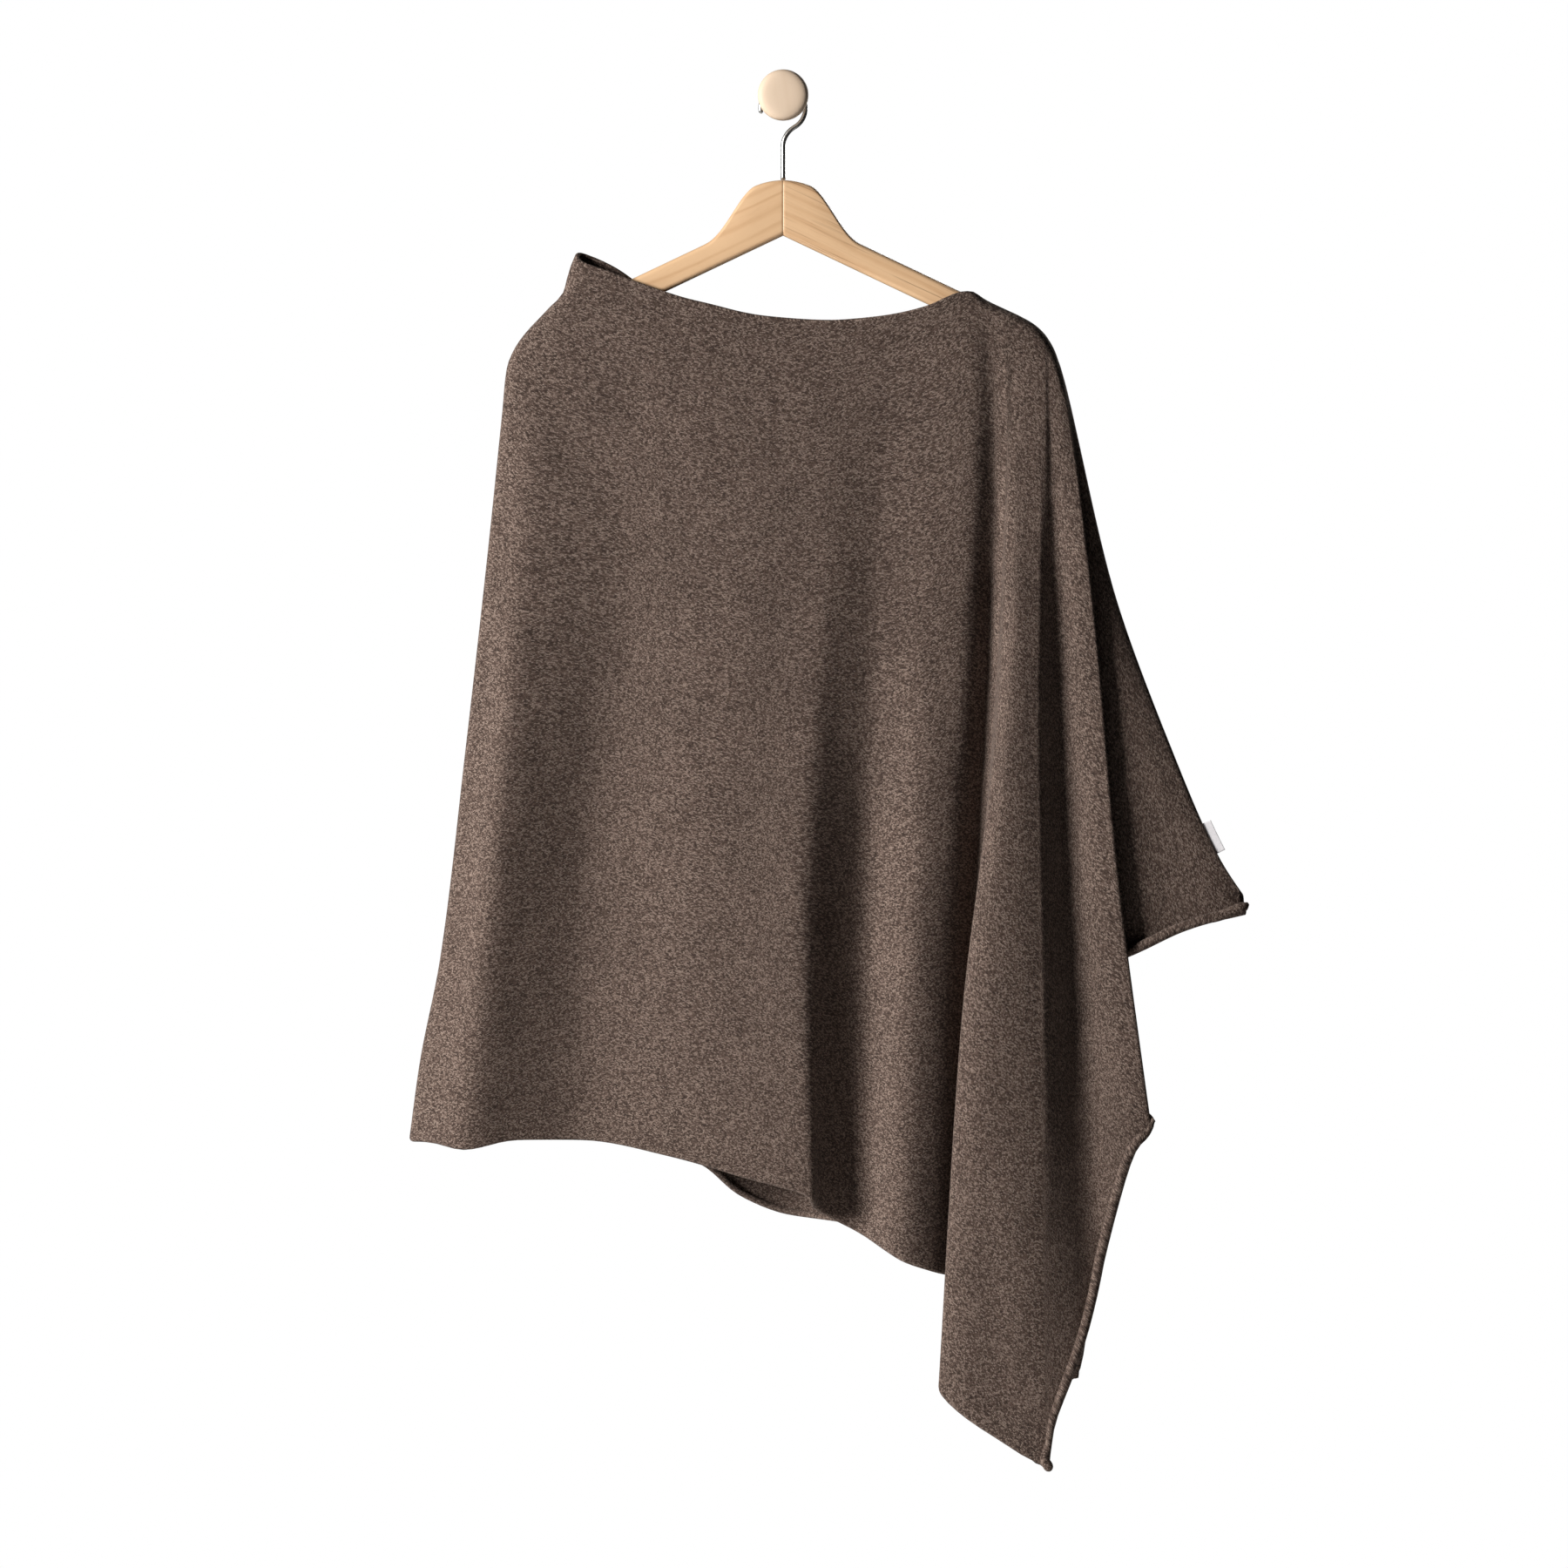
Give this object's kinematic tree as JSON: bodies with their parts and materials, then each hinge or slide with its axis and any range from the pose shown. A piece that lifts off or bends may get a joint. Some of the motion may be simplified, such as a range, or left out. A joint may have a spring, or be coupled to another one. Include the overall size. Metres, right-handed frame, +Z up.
{
  "type": "poncho on a hanger",
  "caption": "Plain fine-knit poncho, one folded rectangle with a sewn shoulder seam and rolled edges, hung on a wooden clothes hanger from a round wall peg.",
  "frame": {"origin": "middle of the wall peg's flat back face, on the wall", "axes": "+Z up, +Y into the wall, +X to the right as the poncho is seen from the room"},
  "size_m": [0.6716, 0.0991, 1.1213],
  "materials": {
    "knit": "matte heathered fine jersey",
    "label_tape": "matte woven tape",
    "hanger_wood": "satin varnished beech",
    "hook_steel": "satin steel wire",
    "peg_wood": "matte bare wood"
  },
  "bodies": {
    "root": {"front_panel": "knit", "back_panel": "knit", "label": "label_tape", "hanger": "hanger_wood", "hook": "hook_steel", "wall_peg": "peg_wood"}
  },
  "joints": []
}
